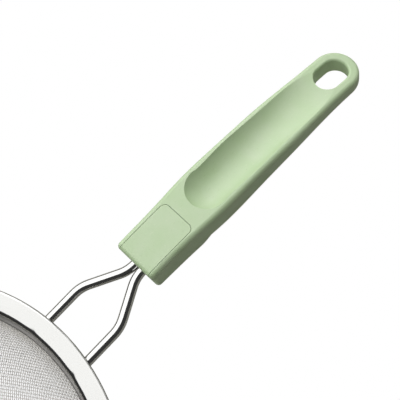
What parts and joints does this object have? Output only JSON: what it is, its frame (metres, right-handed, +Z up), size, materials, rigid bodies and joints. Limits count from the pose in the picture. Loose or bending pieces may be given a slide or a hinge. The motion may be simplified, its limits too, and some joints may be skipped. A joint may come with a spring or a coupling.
{
  "type": "flour sifter",
  "caption": "Hand-held flour sifter: woven wire bowl in a wide polished steel rim, carried by bent wire arms and a moulded handle with a thumb scoop and hanging slot.",
  "frame": {"origin": "centre of the rim's mouth, level with the top of its outer edge", "axes": "+X along the handle towards its tip, +Z up out of the bowl, +Y to the left seen from the handle"},
  "size_m": [0.3994, 0.2, 0.0809],
  "materials": {
    "handle_plastic": "matte, faint fibre speckle",
    "wire_steel": "polished stainless steel",
    "rim_steel": "mirror-polished stainless steel",
    "ring_steel": "satin stainless steel",
    "weld_steel": "cleaned weld",
    "mesh_steel": "woven stainless wire"
  },
  "bodies": {
    "root": {"handle_body": "handle_plastic", "neck_cover": "handle_plastic", "arm_left": "wire_steel", "arm_right": "wire_steel", "arm_welds": "weld_steel", "rim_flange": "rim_steel", "clamp_ring": "ring_steel", "mesh_bowl": "mesh_steel", "rest_loop": "wire_steel", "loop_welds": "weld_steel"}
  },
  "joints": []
}
